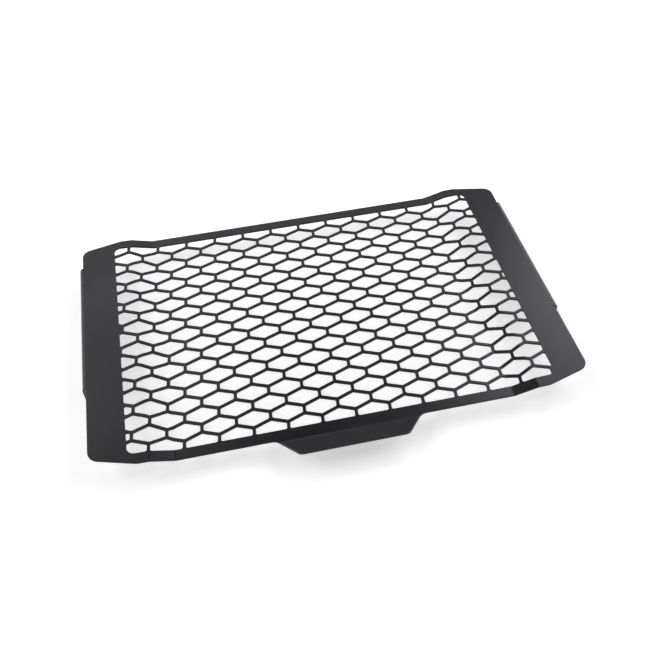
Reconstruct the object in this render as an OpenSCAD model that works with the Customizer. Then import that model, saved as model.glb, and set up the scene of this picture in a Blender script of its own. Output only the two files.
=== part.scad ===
// Motorcycle radiator guard.
// One aluminium sheet, cut and folded. A honeycomb mesh fills a recessed panel, runs up a
// shallow step on each side and ends on a raised side flange. A lip is folded back from
// each flange along the side of the radiator, and a short tongue at the bottom edge is
// folded a little forwards. X runs across, Y up the radiator and Z out of its front face.
// The guard lies face up on the free edges of its two lips.

/* [Sheet] */
// Thickness of the coated sheet
sheet_t = 1.5; // [1:0.1:2.5]
// Inside radius of the shallow folds of the steps and the tongue
fold_r = 6; // [2:0.5:10]
// Inside radius of the square folds of the lips
lip_fold_r = 1.5; // [0.5:0.1:3]

/* [Panel] */
// Width over the outside of the two lips
overall_w = 353; // [320:1:420]
// Height of the panel without its tongue
panel_h = 221; // [180:1:280]
// Width of the recessed middle between its two fold lines
recess_w = 235; // [200:1:250]
// Length of each step between its two fold lines
step_len = 17.4; // [12:0.1:24]
// Angle of each step to the recessed middle
step_angle = 15.7; // [8:0.1:30]
// Angle by which a side flange still rises outwards
flange_angle = 2.5; // [0:0.1:6]

/* [Outline] */
// Distance from a lip's outer face in to the flange edge above and below the lip
edge_inset = 2.7; // [1:0.1:4]
// Width of the flange part whose top and bottom edges are trimmed
trim_w = 31; // [20:1:40]
// Angle of that trim
trim_angle = 15; // [5:1:25]
// Radius of the four outer corners
corner_r = 8; // [3:0.5:15]

/* [Mesh] */
// Distance between the centres of neighbouring openings in a row
cell_w = 23.65; // [18:0.05:30]
// Distance from row to row
row_h = 11.05; // [9:0.05:14]
// Length of the upright webs between their joints
upright_len = 6.4; // [4:0.1:8]
// Width of every web
web = 2.4; // [1.5:0.1:3]
// Lean of the upright webs and of the stacked rows
lean = 5.95; // [0:0.05:12]
// Sideways place of the pattern in its middle row
pattern_x = -6.1; // [-12:0.1:12]
// Width of the plain rim above and below the mesh
rim_w = 8.2; // [6:0.1:14]
// Width of the plain side flange outside the mesh
side_w = 27.5; // [20:0.1:34]
// Sideways place of the mesh field on the panel
field_shift = 0.6; // [-3:0.1:3]
// Radius of the mesh field's corners
field_r = 5; // [2:0.5:8]
// Smallest width of a cut cell that is still opened
least_opening = 1.5; // [1:0.1:5]

/* [Lips] */
// Depth of a lip from the top of its fold to its free edge
lip_depth = 18; // [16:0.5:30]
// Distance from the panel's top edge down to the lips
lip_from_top = 27.4; // [15:0.1:50]
// Distance from the panel's bottom edge up to the lips
lip_from_bottom = 68.6; // [15:0.1:80]
// Width and depth of the relief cuts at the ends of a lip's fold
relief_w = 0.8; // [0.5:0.1:2]
// Radius of a lip's free corners
lip_corner_r = 4; // [1:0.5:6]
// Diameter of the bolt holes in the lips
bolt_d = 6.5; // [5:0.1:8.5]
// Distance from each end of a lip in to its bolt hole
bolt_in = 15; // [8:0.5:25]
// Height of the bolt holes above a lip's free edge
bolt_up = 7.5; // [6:0.1:9]

/* [Tongue] */
// Width of the tongue where it leaves the panel
tongue_root_w = 100; // [80:0.2:130]
// Width of the tongue at its free edge
tongue_tip_w = 74.4; // [50:0.2:100]
// Reach of the tongue below the panel
tongue_reach = 17; // [10:0.5:25]
// Distance from the panel's edge down to the start of the tongue's fold
tongue_fold_gap = 1; // [0.5:0.1:3]
// Angle by which the tongue is folded forwards
tongue_angle = 17; // [5:0.5:30]
// Radius where the tongue leaves the panel's edge
tongue_root_r = 8; // [3:0.5:12]
// Radius of the tongue's free corners
tongue_tip_r = 5; // [2:0.5:8]

/* [Hidden] */
$fn = 48;
coat = [0.13, 0.13, 0.14];
// Depth by which a blank or a cutter stands past what it trims
margin = 2;
// Length of a cutter that passes right through
through = 80;
// Largest turn of one flat along a fold or a hollow round
flat_turn = 5;

// Fold lines on the front face, with the front of the recess at Z = 0
recess_half = recess_w / 2;
step_end_x = recess_half + step_len * cos(step_angle);
step_end_z = step_len * sin(step_angle);
panel_end = panel_h / 2;
lip_x = overall_w / 2;
lip_outer_r = lip_fold_r + sheet_t;
// Highest point of a lip's fold, and its free edge
lip_top_z = flange_z(lip_x - lip_outer_r * (1 + sin(flange_angle))) + lip_outer_r * (1 - cos(flange_angle));
lip_end_z = lip_top_z - lip_depth;
// Flange edge above and below the lips, and the inner end of the relief cuts beside them
edge_x = lip_x - edge_inset;
relief_x = lip_x - lip_outer_r * (1 + sin(flange_angle)) - relief_w;
// Ends of the lips along Y
lip_low = lip_from_bottom - panel_end;
lip_high = panel_end - lip_from_top;

// Mesh field and the rows that reach into it
field_x = overall_w / 2 - side_w;
field_y = panel_h / 2 - rim_w;
// Rise per length of a slanted web, and the height its half width takes
slant = 2 * (row_h - upright_len) / cell_w;
slant_half_web = web / 2 * sqrt(1 + slant * slant);
cell_half_w = (cell_w - web) / 2;
cell_top = row_h - upright_len / 2 - slant_half_web;
cell_side = cell_top - slant * cell_half_w;
rows = floor((field_y + cell_top - least_opening) / row_h);
flat_field_x = recess_half + step_len + (field_x - step_end_x) / cos(flange_angle);
columns = ceil((flat_field_x + rows * row_h * tan(lean)) / cell_w) + 1;

function unit(v) = v / norm(v);
function xy(p) = [p[0], p[1]];
function direction(v) = atan2(v[1], v[0]);
function turns_left(a, b) = a[0] * b[1] - a[1] * b[0] > 0;
function reversed(list) = [for (i = [len(list) - 1 : -1 : 0]) list[i]];
function mirrored(corners) = [for (c = corners) [-c[0], c[1], c[2]]];

// Front face of a side flange at X
function flange_z(x) = step_end_z + (x - step_end_x) * tan(flange_angle);

// Back corner behind a front corner [x, z], between stretches at two angles
function behind(x, z, before, after) =
    let (middle = (before + after) / 2)
    [x, z] + sheet_t / cos((after - before) / 2) * [sin(middle), -cos(middle)];

// Rounds of an outline's [x, y, radius] corners: start, end, centre, radius and turn
function rounds(corners) =
    let (count = len(corners))
    [
        for (i = [0 : count - 1])
            let (
                p = xy(corners[i]),
                r = corners[i][2],
                back = unit(xy(corners[(i + count - 1) % count]) - p),
                ahead = unit(xy(corners[(i + 1) % count]) - p),
                half = acos(back * ahead) / 2
            )
            r == 0 ? [p, p, p, 0, 0]
            : [
                p + back * r / tan(half),
                p + ahead * r / tan(half),
                p + unit(back + ahead) * r / sin(half),
                r,
                turns_left(-back, ahead) ? 180 - 2 * half : 2 * half - 180
            ]
    ];

// Points along a round, in flats of a few degrees
function round_points(c) =
    let (from = direction(c[0] - c[2]), flats = ceil(abs(c[4]) / flat_turn))
    [for (i = [0 : flats]) c[2] + c[3] * [cos(from + c[4] * i / flats), sin(from + c[4] * i / flats)]];

// Unfolded distance from the middle to X on the folded sheet
function folded_x(flat) =
    let (d = abs(flat), side = sign(flat))
    d <= recess_half ? flat
    : d <= recess_half + step_len ? side * (recess_half + (d - recess_half) * cos(step_angle))
    : side * (step_end_x + (d - recess_half - step_len) * cos(flange_angle));

// Corners of a cell round its own centre, leaning with the rows
function cell_corners() =
    let (points = [
        [cell_half_w, -cell_side],
        [cell_half_w, cell_side],
        [0, cell_top],
        [-cell_half_w, cell_side],
        [-cell_half_w, -cell_side],
        [0, -cell_top]
    ])
    [for (p = points) [p[0] + p[1] * tan(lean), p[1]]];

// Centre of a cell on the unfolded sheet, odd rows half a cell aside
function cell_centre(column, row) =
    let (aside = abs(row) % 2 == 1 ? cell_w / 2 : 0)
    [pattern_x + aside + column * cell_w + row * row_h * tan(lean), row * row_h];

// Width of a cell that lies inside the mesh field
function inside_w(centre) = flat_field_x + cell_half_w - abs(centre[0] - field_shift);

// Outline through [x, y, radius] corners, anticlockwise. Its outer rounds are true circles.
module rounded_outline(corners) {
    polygon([
        for (c = rounds(corners))
            each c[3] == 0 ? [c[0]] : c[4] > 0 ? [c[0], c[1]] : round_points(c)
    ]);
    for (c = rounds(corners)) {
        if (c[4] > 0) translate(c[2]) circle(r = c[3]);
    }
}

// Stretch of folded sheet along Y, from its section through [x, z, radius] corners
module folded_sheet(corners, low, high) {
    translate([0, high, 0])
        rotate([90, 0, 0])
            linear_extrude(high - low)
                polygon([for (c = rounds(corners)) each c[3] == 0 ? [c[0]] : round_points(c)]);
}

// Section of recess, steps and flanges, out to X = end
function panel_section(end) =
    let (
        rise = behind(recess_half, 0, 0, step_angle),
        fall = behind(step_end_x, step_end_z, step_angle, flange_angle),
        plumb = sheet_t / cos(flange_angle),
        front = [
            [recess_half, 0, fold_r],
            [step_end_x, step_end_z, fold_r + sheet_t],
            [relief_x, flange_z(relief_x), 0],
            [end, flange_z(end), 0]
        ],
        back = [
            [rise[0], rise[1], fold_r + sheet_t],
            [fall[0], fall[1], fold_r],
            [relief_x, flange_z(relief_x) - plumb, 0],
            [end, flange_z(end) - plumb, 0]
        ]
    )
    concat(mirrored(reversed(back)), back, reversed(front), mirrored(front));

// Section of the right lip, from the inner end of its relief cuts
function lip_section(end) =
    let (plumb = sheet_t / cos(flange_angle), inner_x = lip_x - sheet_t)
    [
        [relief_x, flange_z(relief_x) - plumb, 0],
        [inner_x, flange_z(inner_x) - plumb, lip_fold_r],
        [inner_x, end, 0],
        [lip_x, end, 0],
        [lip_x, flange_z(lip_x), lip_outer_r],
        [relief_x, flange_z(relief_x), 0]
    ];

// Section of the tongue downwards, from a root inside the panel's rim
function tongue_section(root, end) =
    let (
        bend = panel_end + tongue_fold_gap + fold_r * tan(tongue_angle / 2),
        bend_back = behind(bend, 0, 0, tongue_angle),
        end_z = (end - bend) * tan(tongue_angle)
    )
    [
        [root, -sheet_t, 0],
        [bend_back[0], bend_back[1], fold_r + sheet_t],
        [end, end_z - sheet_t / cos(tongue_angle), 0],
        [end, end_z, 0],
        [bend, 0, fold_r],
        [root, 0, 0]
    ];

// Outline of panel and tongue seen from the front, notched where the lips leave it
module guard_outline() {
    trim_x = edge_x - trim_w;
    trim_y = panel_end - trim_w * tan(trim_angle);
    right = [
        [tongue_tip_w / 2, -panel_end - tongue_reach, tongue_tip_r],
        [tongue_root_w / 2, -panel_end, tongue_root_r],
        [trim_x, -panel_end, 0],
        [edge_x, -trim_y, corner_r],
        [edge_x, lip_low - relief_w, 0],
        [relief_x, lip_low - relief_w, 0],
        [relief_x, lip_high + relief_w, 0],
        [edge_x, lip_high + relief_w, 0],
        [edge_x, trim_y, corner_r],
        [trim_x, panel_end, 0]
    ];
    rounded_outline(concat(right, mirrored(reversed(right))));
}

// Outline of the right lip seen from the side
module lip_outline() {
    rounded_outline([
        [lip_low, lip_end_z, lip_corner_r],
        [lip_high, lip_end_z, lip_corner_r],
        [lip_high, lip_top_z + margin, 0],
        [lip_low, lip_top_z + margin, 0]
    ]);
}

// Openings of the honeycomb, cut off at the border of the mesh field
module mesh_openings() {
    intersection() {
        translate([field_shift, 0])
            rounded_outline([
                [field_x, -field_y, field_r],
                [field_x, field_y, field_r],
                [-field_x, field_y, field_r],
                [-field_x, -field_y, field_r]
            ]);
        for (row = [-rows : rows]) {
            for (column = [-columns : columns]) {
                centre = cell_centre(column, row);
                if (inside_w(centre) > least_opening) {
                    polygon([
                        for (p = cell_corners())
                            [folded_x(centre[0] + p[0]), centre[1] + p[1]]
                    ]);
                }
            }
        }
    }
}

// Panel and tongue, trimmed to their outline
module panel() {
    tongue_half = tongue_root_w / 2 + tongue_root_r;
    intersection() {
        union() {
            folded_sheet(
                panel_section(lip_x),
                -panel_end - tongue_fold_gap / 2,
                panel_end + margin
            );
            rotate([0, 0, -90])
                folded_sheet(
                    tongue_section(panel_end - margin, panel_end + tongue_reach + margin),
                    -tongue_half,
                    tongue_half
                );
        }
        translate([0, 0, -through / 2]) linear_extrude(through) guard_outline();
    }
}

// Lip folded back from the right flange, with its bolt holes
module lip() {
    difference() {
        intersection() {
            folded_sheet(lip_section(lip_end_z - margin), lip_low - margin, lip_high + margin);
            translate([lip_x - through / 2, 0, 0])
                rotate([90, 0, 90]) linear_extrude(through) lip_outline();
        }
        for (y = [lip_low + bolt_in, lip_high - bolt_in]) {
            translate([lip_x - lip_outer_r, y, lip_end_z + bolt_up])
                rotate([0, 90, 0]) cylinder(d = bolt_d, h = lip_outer_r + margin);
        }
    }
}

// Whole guard, its lips' free edges at Z = 0 and its outline centred on the origin
module radiator_guard() {
    color(coat)
        translate([0, tongue_reach / 2, -lip_end_z])
            difference() {
                union() {
                    panel();
                    lip();
                    mirror([1, 0, 0]) lip();
                }
                translate([0, 0, -through / 2]) linear_extrude(through) mesh_openings();
            }
}

radiator_guard();
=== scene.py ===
import bpy
import math
from mathutils import Matrix, Quaternion, Vector
from mathutils.geometry import delaunay_2d_cdt


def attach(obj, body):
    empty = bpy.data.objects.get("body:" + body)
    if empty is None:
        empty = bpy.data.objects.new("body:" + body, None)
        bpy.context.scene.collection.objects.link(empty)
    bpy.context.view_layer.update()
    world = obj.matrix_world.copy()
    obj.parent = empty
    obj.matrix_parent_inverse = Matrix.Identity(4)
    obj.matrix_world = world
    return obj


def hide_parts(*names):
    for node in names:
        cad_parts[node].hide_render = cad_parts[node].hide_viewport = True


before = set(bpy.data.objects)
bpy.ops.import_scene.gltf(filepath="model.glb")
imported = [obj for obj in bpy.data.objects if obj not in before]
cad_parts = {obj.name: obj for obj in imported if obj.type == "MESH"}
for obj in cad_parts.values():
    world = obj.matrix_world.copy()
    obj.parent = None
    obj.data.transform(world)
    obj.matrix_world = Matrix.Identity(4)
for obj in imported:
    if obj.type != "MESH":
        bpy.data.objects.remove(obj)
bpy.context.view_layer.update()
mmPerMetre = 1000
print("frame loaded")

# The guard is one sheet of aluminium. It is drawn flat with every opening, in millimetres
# from the middle of its panel, and then folded along its section. Angles are in degrees.
sheet = {
    "thickness": 1.5,
    "width": 353.0,  # over both lips
    "height": 221.0,  # without the tongue
    "recessWidth": 235.0,
    "stepLength": 17.4,
    "stepAngle": 15.7,
    "flangeAngle": 2.5,
    "foldRadius": 6.0,  # inside radius of the shallow folds
    "foldSteps": 4,
    "edgeInset": 2.7,  # from the lips' outer faces to the flanges' edges
    "trimWidth": 31.0,  # the flanges' ends slope over this width
    "trimAngle": 15.0,
    "cornerRadius": 8.0,
    "edgeRadius": 0.38,  # the coat rounds every cut edge
    "edgeAngles": [0, 45, 90],  # points round each cut edge
}
lip = {
    "depth": 18.0,
    "length": 125.0,
    "rise": 20.6,  # its middle lies this far above the panel's
    "foldRadius": 1.5,
    "foldSteps": 10,
    "relief": 0.8,  # width of the cut at each end of the fold
    "reliefRound": 0.49,  # share of that width
    "edgeRound": 0.6,
    "cornerRadius": 4.0,
}
tongue = {
    "rootWidth": 100.0,
    "tipWidth": 74.4,
    "reach": 17.0,  # past the panel's bottom edge
    "foldGap": 1.0,  # from that edge to the fold
    "angle": 17.0,
    "foldSteps": 4,
    "rootRadius": 8.0,
    "tipRadius": 5.0,
}


# Unit vector out of the front face where the sheet runs at this heading
def frontNormal(heading):
    return Vector((-math.sin(heading), math.cos(heading)))


# Flat stretches and folds, as [flat length, turn, radius of the front face, steps]
def walkSection(stretches):
    place, heading, start, walked = Vector((0, 0)), 0.0, 0.0, []
    for length, turn, radius, steps in stretches:
        walked.append((start, length, place.copy(), heading, turn, radius, steps))
        if turn:
            side = 1 if turn > 0 else -1
            centre = place + side * radius * frontNormal(heading)
            heading += turn
            place = centre - side * radius * frontNormal(heading)
        else:
            place = place + length * Vector((math.cos(heading), math.sin(heading)))
        start += length
    return walked


# Place on the front face and heading there, at a flat distance along a section
def alongSection(walked, distance):
    for start, length, place, heading, turn, radius, steps in reversed(walked):
        if distance >= start:
            break
    if not turn:
        run = distance - start
        return place + run * Vector((math.cos(heading), math.sin(heading))), heading
    side = 1 if turn > 0 else -1
    centre = place + side * radius * frontNormal(heading)
    heading += turn * min(1.0, (distance - start) / length)
    return centre - side * radius * frontNormal(heading), heading


# Flat distances at which a section starts, bends within and ends each of its folds
def foldLines(walked):
    return [
        start + length * step / steps
        for start, length, place, heading, turn, radius, steps in walked if turn
        for step in range(steps + 1)
    ]


thickness = sheet["thickness"]
panelEnd = sheet["height"] / 2
recessHalf = sheet["recessWidth"] / 2
stepTurn, flangeTurn = math.radians(sheet["stepAngle"]), math.radians(sheet["flangeAngle"])
stepEndX = recessHalf + sheet["stepLength"] * math.cos(stepTurn)
stepEndFlat = recessHalf + sheet["stepLength"]
riseSetback = sheet["foldRadius"] * math.tan(stepTurn / 2)
fallRadius = sheet["foldRadius"] + thickness
fallSetback = fallRadius * math.tan((stepTurn - flangeTurn) / 2)
lipRadius = lip["foldRadius"] + thickness
lipTurn = math.pi / 2 + flangeTurn
lipLeg = lip["depth"] - lipRadius
lipEnds = [lip["rise"] - lip["length"] / 2, lip["rise"] + lip["length"] / 2]


# Flat distance of a place on the flange, which lies x across the folded guard
def flatX(x):
    return stepEndFlat + (x - stepEndX) / math.cos(flangeTurn)


lipFoldX = sheet["width"] / 2 - lipRadius * (1 + math.sin(flangeTurn))
lipFoldFlat = flatX(lipFoldX)
lipFoldLength = lipRadius * lipTurn
lipEndFlat = lipFoldFlat + lipFoldLength + lipLeg
straight = [0, 0, 0]  # no turn, radius or steps

# Half of the section from the middle outwards, beyond the ends of the lips and through
# them. The last stretch of every section runs on past the edge of the sheet.
recessAndStep = [
    [recessHalf - riseSetback, *straight],
    [2 * riseSetback, stepTurn, sheet["foldRadius"], sheet["foldSteps"]],
    [sheet["stepLength"] - riseSetback - fallSetback, *straight],
    [2 * fallSetback, flangeTurn - stepTurn, fallRadius, sheet["foldSteps"]],
]
panelSection = walkSection(recessAndStep + [[sheet["width"], *straight]])
lipSection = walkSection(recessAndStep + [
    [lipFoldFlat - stepEndFlat - fallSetback, *straight],
    [lipFoldLength, -lipTurn, lipRadius, lip["foldSteps"]],
    [lipLeg + thickness, *straight],
])

tongueTurn = math.radians(tongue["angle"])
tongueStart = -panelEnd - tongue["foldGap"]
tongueArc = sheet["foldRadius"] * tongueTurn
tongueRise = (thickness + sheet["foldRadius"]) * math.sin(tongueTurn)
tongueLeg = (tongue["reach"] - tongue["foldGap"] - tongueRise) / math.cos(tongueTurn)
tongueEnd = tongueStart - tongueArc - tongueLeg
tongueSection = walkSection([
    [tongueArc, tongueTurn, sheet["foldRadius"], tongue["foldSteps"]],
    [tongueLeg + thickness, *straight],
])

# The folded sheet moves up on to its lips and back by half its tongue
foldTop = alongSection(panelSection, lipFoldFlat)[0].y + lipRadius * (1 - math.cos(flangeTurn))
sheetPlace = Vector((0, tongue["reach"] / 2, lip["depth"] - foldTop))


# Folded place of a point at a height over the flat front face (less than 0 in the metal),
# and the directions there: across, up the sheet and out of its front
def foldPoint(u, v, height):
    side = -1 if u < 0 else 1
    if v < tongueStart:
        place, heading = alongSection(tongueSection, tongueStart - v)
        across = Vector((1, 0, 0))
        upwards = Vector((0, math.cos(heading), -math.sin(heading)))
        front = Vector((0, math.sin(heading), math.cos(heading)))
        folded = Vector((u, tongueStart - place.x, place.y))
    else:
        onLip = lipEnds[0] - lip["relief"] / 2 < v < lipEnds[1] + lip["relief"] / 2
        place, heading = alongSection(lipSection if onLip else panelSection, abs(u))
        across = Vector((math.cos(heading), 0, side * math.sin(heading)))
        upwards = Vector((0, 1, 0))
        front = Vector((-side * math.sin(heading), 0, math.cos(heading)))
        folded = Vector((side * place.x, v, place.y))
    return folded + height * front, across, upwards, front


rounding = {
    "straightTurn": 2.0,  # degrees, a smaller turn stays sharp
    "sideShare": 0.48,  # share of a side that the round of one corner may take
    "arcStep": 15.0,  # degrees from point to point round a corner
    "fewestSteps": 2,
}


# Stations round a loop with the metal on its left: [point, direction into the metal].
# Corners are [u, v, radius].
def loopStations(corners):
    stations = []
    count = len(corners)
    for i in range(count):
        point = Vector(corners[i][:2])
        before = point - Vector(corners[i - 1][:2])
        after = Vector(corners[(i + 1) % count][:2]) - point
        turn = math.atan2(before.x * after.y - before.y * after.x, before.dot(after))
        longest = rounding["sideShare"] * min(before.length, after.length)
        before.normalize()
        after.normalize()
        inward = Vector((-before.y, before.x))
        if abs(turn) < math.radians(rounding["straightTurn"]):
            inward = (inward + Vector((-after.y, after.x))).normalized()
            stations.append([point, inward / math.cos(turn / 2)])
            continue
        bend = math.tan(abs(turn) / 2)
        radius = min(corners[i][2], longest / bend)
        side = 1 if turn > 0 else -1
        centre = point - before * radius * bend + inward * side * radius
        steps = math.ceil(abs(math.degrees(turn)) / rounding["arcStep"])
        steps = max(rounding["fewestSteps"], steps)
        for step in range(steps + 1):
            direction = Matrix.Rotation(turn * step / steps, 2) @ inward
            stations.append([centre - direction * side * radius, direction])
    return stations


# Part of a convex outline that lies on the left of every side of another one
def clipOutline(points, fence):
    for i in range(len(fence)):
        start, end = fence[i - 1], fence[i]
        side = end - start
        kept = []
        for j in range(len(points)):
            a, b = points[j - 1], points[j]
            insideA = side.x * (a - start).y - side.y * (a - start).x
            insideB = side.x * (b - start).y - side.y * (b - start).x
            if (insideA > 0) != (insideB > 0):
                kept.append(a + (b - a) * insideA / (insideA - insideB))
            if insideB > 0:
                kept.append(b)
        points = kept
        if not points:
            return []
    return points


honeycomb = {
    "cellWidth": 23.65,  # from web to web
    "rowHeight": 11.05,
    "uprightLength": 6.4,  # of a cell's two upright sides, along the webs' middles
    "web": 2.4,
    "lean": 5.95,
    "patternX": -6.1,  # middle of a cell of the middle row
    "rim": 8.2,  # from the panel's top and bottom edges to the field
    "side": 27.5,  # from the lips' outer faces to the field
    "shift": 0.6,  # the whole field lies this far to the right
    "fieldRadius": 5.0,
    "leastOpening": 1.4,  # the solids close one sliver more, which the photo shows open
    "shortestSide": 0.05,  # a shorter one is left out
    "cornerRadius": 1.2,  # the laser leaves a small round in each corner
}


# The openings of the mesh as loops of corners, cut off at the border of its field
def honeycombLoops():
    h = honeycomb
    lean = math.tan(math.radians(h["lean"]))
    fieldX, fieldY = flatX(sheet["width"] / 2 - h["side"]), panelEnd - h["rim"]
    slant = 2 * (h["rowHeight"] - h["uprightLength"]) / h["cellWidth"]
    halfWidth = (h["cellWidth"] - h["web"]) / 2
    top = h["rowHeight"] - h["uprightLength"] / 2 - h["web"] / 2 * math.hypot(1, slant)
    sideTop = top - slant * halfWidth
    hexagon = [
        Vector((x + y * lean, y)) for x, y in [
            (halfWidth, -sideTop), (halfWidth, sideTop), (0, top),
            (-halfWidth, sideTop), (-halfWidth, -sideTop), (0, -top),
        ]
    ]
    fence = [
        station[0] for station in loopStations([
            [sx * fieldX + h["shift"], sy * fieldY, h["fieldRadius"]]
            for sx, sy in [(1, -1), (1, 1), (-1, 1), (-1, -1)]
        ])
    ]
    rows = math.floor((fieldY + top - h["leastOpening"]) / h["rowHeight"])
    columns = math.ceil((fieldX + rows * h["rowHeight"] * lean) / h["cellWidth"]) + 1
    loops = []
    for row in range(-rows, rows + 1):
        aside = h["cellWidth"] / 2 if row % 2 else 0
        y = row * h["rowHeight"]
        for column in range(-columns, columns + 1):
            centre = Vector((h["patternX"] + aside + column * h["cellWidth"] + y * lean, y))
            if fieldX + halfWidth - abs(centre.x - h["shift"]) <= h["leastOpening"]:
                continue
            cell = clipOutline([centre + corner for corner in hexagon], fence)
            cell = [
                p for i, p in enumerate(cell) if (p - cell[i - 1]).length > h["shortestSide"]
            ]
            if len(cell) > 2:
                loops.append([[p.x, p.y, h["cornerRadius"]] for p in reversed(cell)])
    return loops


# The flat outline with both lips and the tongue, run round with the metal on its left
def outlineCorners():
    edge = flatX(sheet["width"] / 2 - sheet["edgeInset"])
    relief = flatX(lipFoldX - lip["relief"])
    trimX = edge - sheet["trimWidth"]
    trimY = panelEnd - sheet["trimWidth"] * math.tan(math.radians(sheet["trimAngle"]))
    low, high, gap = lipEnds[0], lipEnds[1], lip["relief"]
    slotRound, edgeRound = lip["reliefRound"] * gap, lip["edgeRound"]
    right = [
        [tongue["tipWidth"] / 2, tongueEnd, tongue["tipRadius"]],
        [tongue["rootWidth"] / 2, -panelEnd, tongue["rootRadius"]],
        [trimX, -panelEnd, sheet["cornerRadius"]],
        [edge, -trimY, sheet["cornerRadius"]],
        [edge, low - gap, edgeRound],
        [relief, low - gap, slotRound],
        [relief, low, slotRound],
        [lipEndFlat, low, lip["cornerRadius"]],
        [lipEndFlat, high, lip["cornerRadius"]],
        [relief, high, slotRound],
        [relief, high + gap, slotRound],
        [edge, high + gap, edgeRound],
        [edge, trimY, sheet["cornerRadius"]],
        [trimX, panelEnd, sheet["cornerRadius"]],
    ]
    return right + [[-u, v, radius] for u, v, radius in reversed(right)]


boltHoles = {
    "diameter": 6.5,
    "pitch": 95.0,
    "up": 7.5,  # above the lip's free edge
    "points": 24,
}


# Stations round the two bolt holes of each lip
def boltLoops():
    radius, points = boltHoles["diameter"] / 2, boltHoles["points"]
    loops = []
    for side in (-1, 1):
        for end in (-1, 1):
            u = side * (lipEndFlat - boltHoles["up"])
            v = lip["rise"] + end * boltHoles["pitch"] / 2
            stations = []
            for i in range(points):
                angle = -2 * math.pi * i / points
                direction = Vector((math.cos(angle), math.sin(angle)))
                stations.append([Vector((u, v)) + radius * direction, direction])
            loops.append(stations)
    return loops


# Fold lines of the whole sheet: (0, u) beside the recess and (1, v) across the tongue
def bendLines():
    lines = [(0, side * u) for u in foldLines(lipSection) for side in (-1, 1)]
    return lines + [(1, tongueStart - v) for v in foldLines(tongueSection)]


# Adds a station wherever the flat face's border crosses a fold line
def splitLoop(stations, axis, line):
    inset = sheet["edgeRadius"]
    split = []
    for i, (point, inward) in enumerate(stations):
        split.append([point, inward])
        nextPoint, nextInward = stations[(i + 1) % len(stations)]
        a, b = point + inset * inward, nextPoint + inset * nextInward
        if (a[axis] - line) * (b[axis] - line) < 0:
            part = (line - a[axis]) / (b[axis] - a[axis])
            direction = inward.lerp(nextInward, part)
            split.append([a.lerp(b, part) - inset * direction, direction])
    return split


# Whether a point lies in an outline, from how many of its sides are to the right
def isInside(point, outline):
    inside = False
    for i in range(len(outline)):
        a, b = outline[i - 1], outline[i]
        if (a.y > point.y) != (b.y > point.y):
            if point.x < a.x + (b.x - a.x) * (point.y - a.y) / (b.y - a.y):
                inside = not inside
    return inside


nearness = {"onLine": 1e-4, "samePoint": 1e-3, "weld": 1e-6}  # mm on the flat sheet


# Stretches of the fold lines that lie in the metal, as pairs of points of the flat face
def foldBorders(flat, owner, outline):
    pairs = []
    for axis, line in bendLines():
        onLine = sorted(
            (i for i, point in enumerate(flat) if abs(point[axis] - line) < nearness["onLine"]),
            key=lambda i: flat[i][1 - axis],
        )
        for a, b in zip(onLine, onLine[1:]):
            apart = (flat[a] - flat[b]).length >= nearness["samePoint"]
            acrossHole = owner[a] == owner[b] and owner[a] > 0
            if apart and not acrossHole and isInside((flat[a] + flat[b]) / 2, outline):
                pairs.append((a, b))
    return pairs


# Triangles of the flat face between the loops, cut along the fold lines
def flatFace(loops):
    flat, owner, borders = [], [], []
    for number, stations in enumerate(loops):
        first, count = len(flat), len(stations)
        flat += [point + sheet["edgeRadius"] * inward for point, inward in stations]
        owner += [number] * count
        borders += [(first + i, first + (i + 1) % count) for i in range(count)]
    borders += foldBorders(flat, owner, flat[:len(loops[0])])
    withinBorders = 1  # the kind of result that leaves out what is past the outline
    cut = delaunay_2d_cdt(flat, borders, [], withinBorders, nearness["weld"])
    triangles, origins = cut[2], cut[3]
    faces = []
    for triangle in triangles:
        corners = [origins[i][0] for i in triangle]
        owners = {owner[i] for i in corners}
        if 0 in owners or len(owners) > 1:  # the rest fill an opening
            faces.append(corners)
    return faces


# Rings from the front face round the cut edge to the back face, as (angle away from the
# front, reach into the metal, height over the front face)
def edgeRings():
    radius = sheet["edgeRadius"]
    angles = [math.radians(angle) for angle in sheet["edgeAngles"]]
    front = [(a, radius * (1 - math.sin(a)), radius * (math.cos(a) - 1)) for a in angles]
    back = [(math.pi - a, reach, -thickness - height) for a, reach, height in reversed(front)]
    return front + back


# Folded points of every ring in metres, and the way the coat faces at each of them
def foldedPoints(loops, rings):
    points, normals = [], []
    for angle, reach, height in rings:
        for stations in loops:
            for point, inward in stations:
                u, v = point + reach * inward
                folded, across, upwards, front = foldPoint(u, v, height)
                intoMetal = (inward.x * across + inward.y * upwards).normalized()
                normal = math.cos(angle) * front - math.sin(angle) * intoMetal
                points.append((folded + sheetPlace) / mmPerMetre)
                normals.append(normal.normalized())
    return points, normals


def buildSheet():
    openings = [loopStations(corners) for corners in honeycombLoops()]
    loops = [loopStations(outlineCorners())] + openings + boltLoops()
    for axis, line in bendLines():
        loops = [splitLoop(stations, axis, line) for stations in loops]
    print("sheet drawn flat with", len(openings), "openings")

    front, rings = flatFace(loops), edgeRings()
    points, normals = foldedPoints(loops, rings)
    perRing = len(points) // len(rings)
    lastRing = len(points) - perRing
    faces = [tuple(face) for face in front]
    faces += [tuple(lastRing + i for i in reversed(face)) for face in front]
    for ring in range(len(rings) - 1):
        first = ring * perRing
        for stations in loops:
            count = len(stations)
            for i in range(count):
                a, b = first + i, first + (i + 1) % count
                faces.append((a, a + perRing, b + perRing, b))
            first += count

    mesh = bpy.data.meshes.new("radiatorGuardSheet")
    mesh.from_pydata(points, [], faces)
    mesh.validate()
    mesh.polygons.foreach_set("use_smooth", [True] * len(mesh.polygons))
    mesh.normals_split_custom_set_from_vertices(normals)
    mesh.update()
    piece = bpy.data.objects.new("radiatorGuardSheet", mesh)
    bpy.context.scene.collection.objects.link(piece)
    print("sheet folded,", len(points), "points")
    return piece


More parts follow.
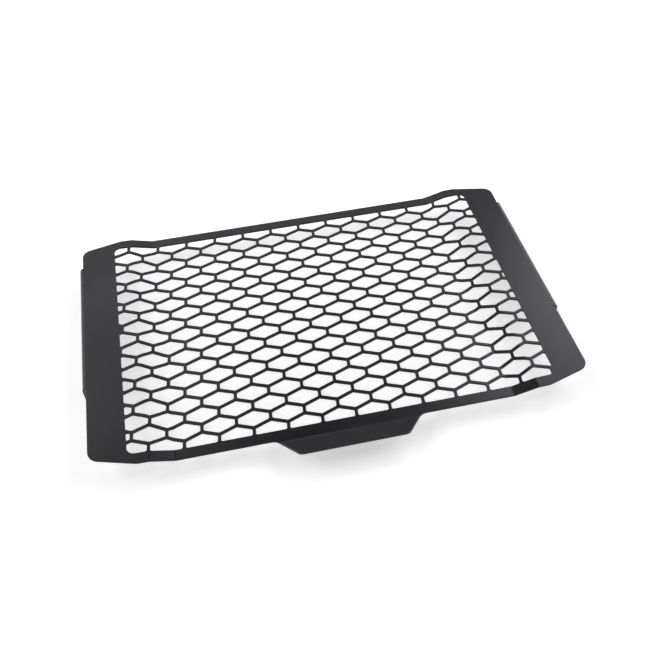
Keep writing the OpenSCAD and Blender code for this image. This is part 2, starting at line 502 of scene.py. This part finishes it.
# sRGB hex value to linear colour
def hexColour(text):
    parts = [int(text[i:i + 2], 16) / 255 for i in (1, 3, 5)]
    linear = [c / 12.92 if c <= 0.04045 else ((c + 0.055) / 1.055) ** 2.4 for c in parts]
    return (*linear, 1.0)


# Adds a node with its settings and the links into it
def addNode(tree, kind, settings=None, links=None):
    node = tree.nodes.new(kind)
    for name, value in (settings or {}).items():
        if isinstance(name, int) or name in node.inputs:
            node.inputs[name].default_value = value
        else:
            setattr(node, name, value)
    for name, output in (links or {}).items():
        tree.links.new(output, node.inputs[name])
    return node


def newMaterial(name):
    material = bpy.data.materials.new(name)
    material.use_nodes = True
    material.node_tree.nodes.clear()
    return material, material.node_tree


coat = {
    "colour": "#0d0d0f",
    "paleColour": "#171719",
    "roughness": 0.34,
    "roughnessSwing": 0.03,
    "peelSize": 1.1,  # mm from bump to bump, coarser than the real 0.3 mm so that it shows
    "peelDepth": 0.02,  # mm
    "peelStrength": 0.5,
    "peelDetail": 2.0,
    "grainSize": 0.35,  # mm, coarser than the powder's 0.05 mm so that it shows
    "grainDetail": 1.0,
    "grainFrom": 0.45,  # noise levels between which a grain turns pale
    "grainTo": 0.75,
    "driftSize": 60.0,  # mm, slow change of the film's gloss across a panel
    "driftDetail": 3.0,
    "driftFrom": 0.3,  # noise levels of the glossiest and the roughest film
    "driftTo": 0.7,
    "indexOfRefraction": 1.5,
}


# Powder-coated aluminium: polyester powder baked to a satin black film. Its grains flow
# into a fine orange peel that breaks the reflections up, and the film has no metal in it.
def powderCoatedAluminium():
    material, tree = newMaterial("powderCoatedAluminium")
    place = addNode(tree, "ShaderNodeTexCoord").outputs["Object"]
    peel, grain, drift = [
        addNode(tree, "ShaderNodeTexNoise",
                {"Scale": mmPerMetre / coat[name + "Size"], "Detail": coat[name + "Detail"]},
                {"Vector": place})
        for name in ("peel", "grain", "drift")
    ]
    speckle = addNode(tree, "ShaderNodeMapRange",
                      {"From Min": coat["grainFrom"], "From Max": coat["grainTo"]},
                      {"Value": grain.outputs["Fac"]})
    colour = addNode(tree, "ShaderNodeMix", {"data_type": "RGBA"},
                     {"Factor": speckle.outputs["Result"]})
    # The mix node's sockets 6 and 7 and its output 2 are the ones for colours
    colour.inputs[6].default_value = hexColour(coat["colour"])
    colour.inputs[7].default_value = hexColour(coat["paleColour"])
    gloss = addNode(tree, "ShaderNodeMapRange",
                    {"From Min": coat["driftFrom"], "From Max": coat["driftTo"],
                     "To Min": coat["roughness"] - coat["roughnessSwing"],
                     "To Max": coat["roughness"] + coat["roughnessSwing"]},
                    {"Value": drift.outputs["Fac"]})
    bump = addNode(tree, "ShaderNodeBump",
                   {"Strength": coat["peelStrength"],
                    "Distance": coat["peelDepth"] / mmPerMetre},
                   {"Height": peel.outputs["Fac"]})
    surface = addNode(tree, "ShaderNodeBsdfPrincipled",
                      {"IOR": coat["indexOfRefraction"], "Metallic": 0.0},
                      {"Base Color": colour.outputs[2], "Roughness": gloss.outputs["Result"],
                       "Normal": bump.outputs["Normal"]})
    addNode(tree, "ShaderNodeOutputMaterial", {}, {"Surface": surface.outputs["BSDF"]})
    return material


guard = buildSheet()
guard.data.materials.append(powderCoatedAluminium())
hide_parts("radiator_guard")
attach(guard, "root")
print("guard dressed")

# White paper sweep: flat under the guard, and curved up into a wall that is highest in
# front. Behind the guard it stays low, where the coat mirrors the dark room above it.
sweep = {
    "colour": "#f4f4f4",
    "flatRadius": 1.4,  # metres, as are the next five
    "wallRadius": 3.0,
    "frontHeight": 1.6,
    "backHeight": 0.3,
    "brightFrom": 0.5,
    "brightTo": 1.3,
    "nearGlow": 0.54,  # the lamps' light on the paper makes up the rest of white
    "farGlow": 1.0,
    "sides": 64,
    "curveSteps": 12,
}


def buildSweep():
    sides, steps = sweep["sides"], sweep["curveSteps"]
    points = [(0, 0, 0)]
    for step in range(steps + 1):
        turn = math.pi / 2 * step / steps
        run = (sweep["wallRadius"] - sweep["flatRadius"]) * math.sin(turn)
        radius = sweep["flatRadius"] + run
        for side in range(sides):
            angle = 2 * math.pi * side / sides
            forwards = math.sqrt((1 - math.sin(angle)) / 2)
            wall = sweep["backHeight"] + forwards * (sweep["frontHeight"] - sweep["backHeight"])
            height = wall * (1 - math.cos(turn))
            points.append((radius * math.cos(angle), radius * math.sin(angle), height))
    faces = [(0, 1 + side, 1 + (side + 1) % sides) for side in range(sides)]
    for ring in range(steps):
        low, high = 1 + ring * sides, 1 + (ring + 1) * sides
        for side in range(sides):
            after = (side + 1) % sides
            faces.append((low + side, high + side, high + after, low + after))
    mesh = bpy.data.meshes.new("paperSweep")
    mesh.from_pydata(points, [], faces)
    mesh.polygons.foreach_set("use_smooth", [True] * len(faces))
    mesh.materials.append(mattWhitePaper())
    paper = bpy.data.objects.new("paperSweep", mesh)
    bpy.context.scene.collection.objects.link(paper)


# Matt white background paper, uncoated: it scatters light evenly and has no gloss. The
# lens and the coat's reflections see it near white under the guard, and white further out.
def mattWhitePaper():
    material, tree = newMaterial("mattWhitePaper")
    rays = addNode(tree, "ShaderNodeLightPath")
    seen = rays.outputs["Is Camera Ray"]
    for name in ("Is Glossy Ray", "Is Transmission Ray"):
        either = addNode(tree, "ShaderNodeMath", {"operation": "MAXIMUM"},
                         {0: seen, 1: rays.outputs[name]})
        seen = either.outputs[0]
    place = addNode(tree, "ShaderNodeTexCoord").outputs["Object"]
    distance = addNode(tree, "ShaderNodeVectorMath", {"operation": "LENGTH"}, {0: place})
    glow = addNode(tree, "ShaderNodeMapRange",
                   {"From Min": sweep["brightFrom"], "From Max": sweep["brightTo"],
                    "To Min": sweep["nearGlow"], "To Max": sweep["farGlow"]},
                   {"Value": distance.outputs["Value"]})
    strength = addNode(tree, "ShaderNodeMath", {"operation": "MULTIPLY"},
                       {0: seen, 1: glow.outputs["Result"]})
    paper = addNode(tree, "ShaderNodeBsdfDiffuse", {"Color": hexColour(sweep["colour"])})
    light = addNode(tree, "ShaderNodeEmission", {}, {"Strength": strength.outputs[0]})
    both = addNode(tree, "ShaderNodeAddShader", {}, {0: paper.outputs[0], 1: light.outputs[0]})
    addNode(tree, "ShaderNodeOutputMaterial", {}, {"Surface": both.outputs[0]})
    return material


# Soft boxes, all aimed at the guard: place and size in metres, brightness of the cloth.
# The coat mirrors the first four towards the lens, and the fills light the paper.
softBoxes = {
    "rightStrip": {"place": (0.708, 0.785, 0.756), "size": (0.2, 0.83),
                   "brightness": 6.6, "colour": "#f6f3ff"},
    "backStrip": {"place": (0.047, 1.089, 0.77), "size": (0.8, 0.2),
                  "brightness": 2.35, "colour": "#f6f3ff"},
    "leftBox": {"place": (-0.361, 0.784, 0.972), "size": (0.541, 0.438),
                "brightness": 1.55, "colour": "#fafaff"},
    "leftStrip": {"place": (-0.773, 0.99, 0.725), "size": (0.25, 0.55),
                  "brightness": 3.2, "colour": "#fff8f2"},
    "rightFill": {"place": (1.25, 0.25, 0.85), "size": (1.2, 1.0),
                  "brightness": 2.8, "colour": "#ffffff"},
    "leftFill": {"place": (-1.25, 0.25, 0.85), "size": (1.2, 1.0),
                 "brightness": 3.0, "colour": "#ffffff"},
}
darkRoom = {"colour": "#ffffff", "brightness": 0.03}  # behind the lamps


def buildLights():
    for name, box in softBoxes.items():
        width, height = box["size"]
        lamp = bpy.data.lights.new(name, "AREA")
        lamp.shape = "RECTANGLE"
        lamp.size, lamp.size_y = width, height
        lamp.energy = box["brightness"] * width * height * math.pi  # watts of the whole cloth
        lamp.color = hexColour(box["colour"])[:3]
        holder = bpy.data.objects.new(name, lamp)
        holder.location = box["place"]
        holder.rotation_euler = (-holder.location).to_track_quat("-Z", "Y").to_euler()
        holder.visible_camera = False
        bpy.context.scene.collection.objects.link(holder)
    world = bpy.data.worlds.new("studioRoom")
    world.use_nodes = True
    world.node_tree.nodes.clear()
    air = addNode(world.node_tree, "ShaderNodeBackground",
                  {"Color": hexColour(darkRoom["colour"]), "Strength": darkRoom["brightness"]})
    addNode(world.node_tree, "ShaderNodeOutputWorld", {}, {"Surface": air.outputs[0]})
    bpy.context.scene.world = world


# Camera fitted to the honeycomb, in millimetres from the middle of the recess's front face
lens = {
    "place": (-72.5, -427.3, 459.6),
    "aim": (2.91, -15.74, 0.0),
    "roll": -2.23,  # degrees
    "focalLength": 45.78,
    "sensorWidth": 36.0,
}


def buildCamera():
    data = bpy.data.cameras.new("photoCamera")
    data.lens = lens["focalLength"]
    data.sensor_width = lens["sensorWidth"]
    camera = bpy.data.objects.new("photoCamera", data)
    place = Vector(lens["place"])
    upright = (place - Vector(lens["aim"])).to_track_quat("Z", "Y")
    roll = Quaternion((0, 0, 1), math.radians(lens["roll"]))
    camera.rotation_euler = (upright @ roll).to_euler()
    camera.location = (place + sheetPlace) / mmPerMetre
    bpy.context.scene.collection.objects.link(camera)
    bpy.context.scene.camera = camera


buildSweep()
buildLights()
buildCamera()
bpy.context.scene.view_settings.view_transform = "Standard"
print("sweep, lights and camera ready")
